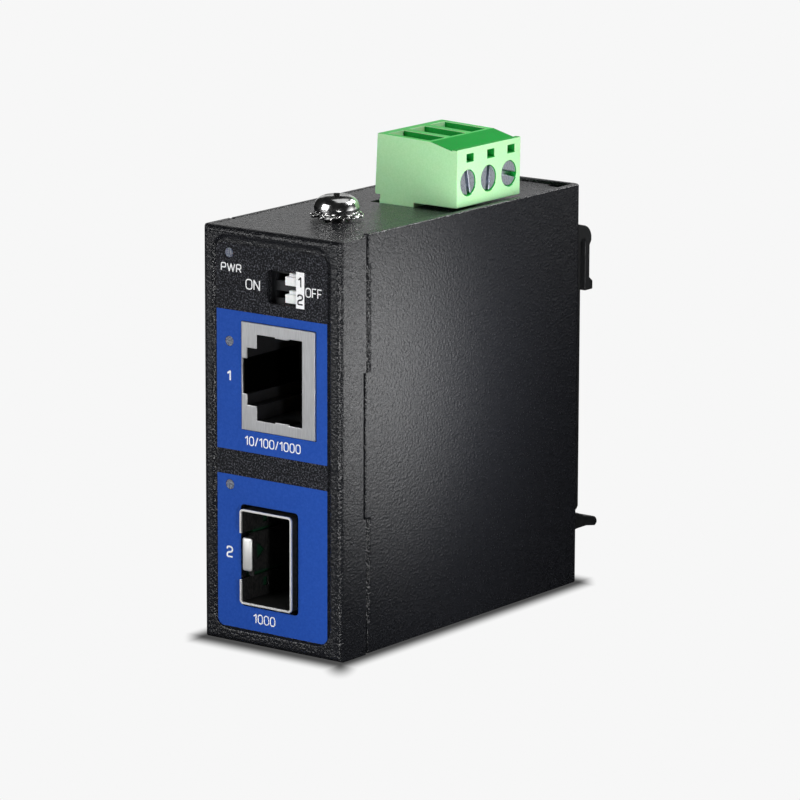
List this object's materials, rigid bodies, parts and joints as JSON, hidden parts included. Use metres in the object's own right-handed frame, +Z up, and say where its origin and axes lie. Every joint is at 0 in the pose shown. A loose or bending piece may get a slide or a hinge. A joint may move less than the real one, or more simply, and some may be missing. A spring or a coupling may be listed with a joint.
{
  "type": "fibre media converter",
  "caption": "Slim metal-cased fibre media converter with copper jack, module cage, option switches, screw terminal plug and a clip for a 35 mm rail.",
  "frame": {"origin": "middle of the bottom face of the case", "axes": "+Z up, -Y out of the front with the ports, +X towards the side that the terminal screws face"},
  "size_m": [0.025, 0.0684, 0.0712],
  "materials": {
    "powder_coated_steel": "fine textured powder coat, semi-gloss",
    "printed_film": "printed polyester overlay, satin",
    "bright_steel": "nickel plated, bright",
    "zinc_steel": "zinc plated",
    "black_screw_steel": "black zinc",
    "spring_steel": "drawn spring wire",
    "shield_steel": "nickel plated sheet",
    "gold_contact": "gold plated contact",
    "tin_contact": "tin plated copper alloy",
    "black_nylon": "moulded, matt",
    "white_nylon": "moulded, satin",
    "green_nylon": "moulded, satin",
    "lamp_lens": "clear moulded, tinted",
    "lamp_resin": "cast resin",
    "board_laminate": "glass-epoxy board with solder mask",
    "brass_post": "turned",
    "chip_epoxy": "moulded epoxy",
    "can_aluminium": "drawn can",
    "ceramic_chip": "fired ceramic with metal ends"
  },
  "bodies": {
    "case": {"chassis": "powder_coated_steel", "wrap_cover": "powder_coated_steel", "front_label": "printed_film", "cover_screws": "black_screw_steel", "rail_bracket": "black_nylon", "latch_spring": "spring_steel", "bracket_screws": "black_screw_steel", "light_pipes": "lamp_lens", "lamp_chips": "lamp_resin", "switch_body": "black_nylon", "switch_leads": "tin_contact", "jack_shield": "shield_steel", "jack_insert": "black_nylon", "jack_contacts": "gold_contact", "module_cage": "shield_steel", "module_socket": "black_nylon", "module_contacts": "gold_contact", "terminal_header": "green_nylon", "header_pins": "tin_contact", "circuit_board": "board_laminate", "board_standoffs": "brass_post", "board_screws": "zinc_steel", "converter_chip": "chip_epoxy", "memory_chip": "chip_epoxy", "regulator": "chip_epoxy", "line_transformer": "chip_epoxy", "power_inductor": "chip_epoxy", "storage_capacitor": "can_aluminium", "surge_diode": "chip_epoxy", "input_fuse": "ceramic_chip", "crystal": "can_aluminium", "ceramic_capacitors": "ceramic_chip", "chip_resistors": "chip_epoxy"},
    "switch_1": {"switch_knob_1": "white_nylon"},
    "switch_2": {"switch_knob_2": "white_nylon"},
    "plug": {"terminal_plug": "green_nylon", "plug_contacts": "tin_contact"},
    "washer": {"ground_washer": "bright_steel"},
    "earth_screw": {"ground_screw": "bright_steel"},
    "latch": {"rail_latch": "black_nylon"},
    "clamp_screw_1": {"clamp_screw_1": "zinc_steel"},
    "clamp_cage_1": {"clamp_cage_1": "zinc_steel"},
    "clamp_screw_2": {"clamp_screw_2": "zinc_steel"},
    "clamp_cage_2": {"clamp_cage_2": "zinc_steel"},
    "clamp_screw_3": {"clamp_screw_3": "zinc_steel"},
    "clamp_cage_3": {"clamp_cage_3": "zinc_steel"}
  },
  "joints": [
    {"name": "switch_1_slide", "type": "slide", "parent": "case", "child": "switch_1", "axis": [-1, 0, 0], "range_m": [0, 0.0022]},
    {"name": "switch_2_slide", "type": "slide", "parent": "case", "child": "switch_2", "axis": [-1, 0, 0], "range_m": [0, 0.0022]},
    {"name": "plug_pull", "type": "slide", "parent": "case", "child": "plug", "axis": [0, 0, 1], "range_m": [0, 0.01]},
    {"name": "earth_rise", "type": "slide", "parent": "case", "child": "washer", "axis": [0, 0, 1], "range_m": [0, 0.0035]},
    {"name": "earth_turn", "type": "hinge", "parent": "washer", "child": "earth_screw", "pos_m": [0.0004, -0.0146, 0.061], "axis": [0, 0, 1], "range_deg": [0, 1800]},
    {"name": "latch_slide", "type": "slide", "parent": "case", "child": "latch", "axis": [0, 0, -1], "range_m": [0, 0.0022], "stiffness_N_per_m": 400, "springref_m": -0.003, "deforming": ["latch_spring"]},
    {"name": "clamp_1_turn", "type": "hinge", "parent": "plug", "child": "clamp_screw_1", "pos_m": [0.0108, 0.00289, 0.065], "axis": [-1, 0, 0], "range_deg": [0, 1440]},
    {"name": "clamp_1_lift", "type": "slide", "parent": "plug", "child": "clamp_cage_1", "axis": [1, 0, 0], "range_m": [0, 0.002]},
    {"name": "clamp_2_turn", "type": "hinge", "parent": "plug", "child": "clamp_screw_2", "pos_m": [0.0108, 0.00797, 0.065], "axis": [-1, 0, 0], "range_deg": [0, 1440]},
    {"name": "clamp_2_lift", "type": "slide", "parent": "plug", "child": "clamp_cage_2", "axis": [1, 0, 0], "range_m": [0, 0.002]},
    {"name": "clamp_3_turn", "type": "hinge", "parent": "plug", "child": "clamp_screw_3", "pos_m": [0.0108, 0.01305, 0.065], "axis": [-1, 0, 0], "range_deg": [0, 1440]},
    {"name": "clamp_3_lift", "type": "slide", "parent": "plug", "child": "clamp_cage_3", "axis": [1, 0, 0], "range_m": [0, 0.002]}
  ],
  "couplings": [
    {"joint": "earth_turn", "follows": "earth_rise", "rad_per_m": 8975.9},
    {"joint": "clamp_1_turn", "follows": "clamp_1_lift", "rad_per_m": 12566},
    {"joint": "clamp_2_turn", "follows": "clamp_2_lift", "rad_per_m": 12566},
    {"joint": "clamp_3_turn", "follows": "clamp_3_lift", "rad_per_m": 12566}
  ]
}
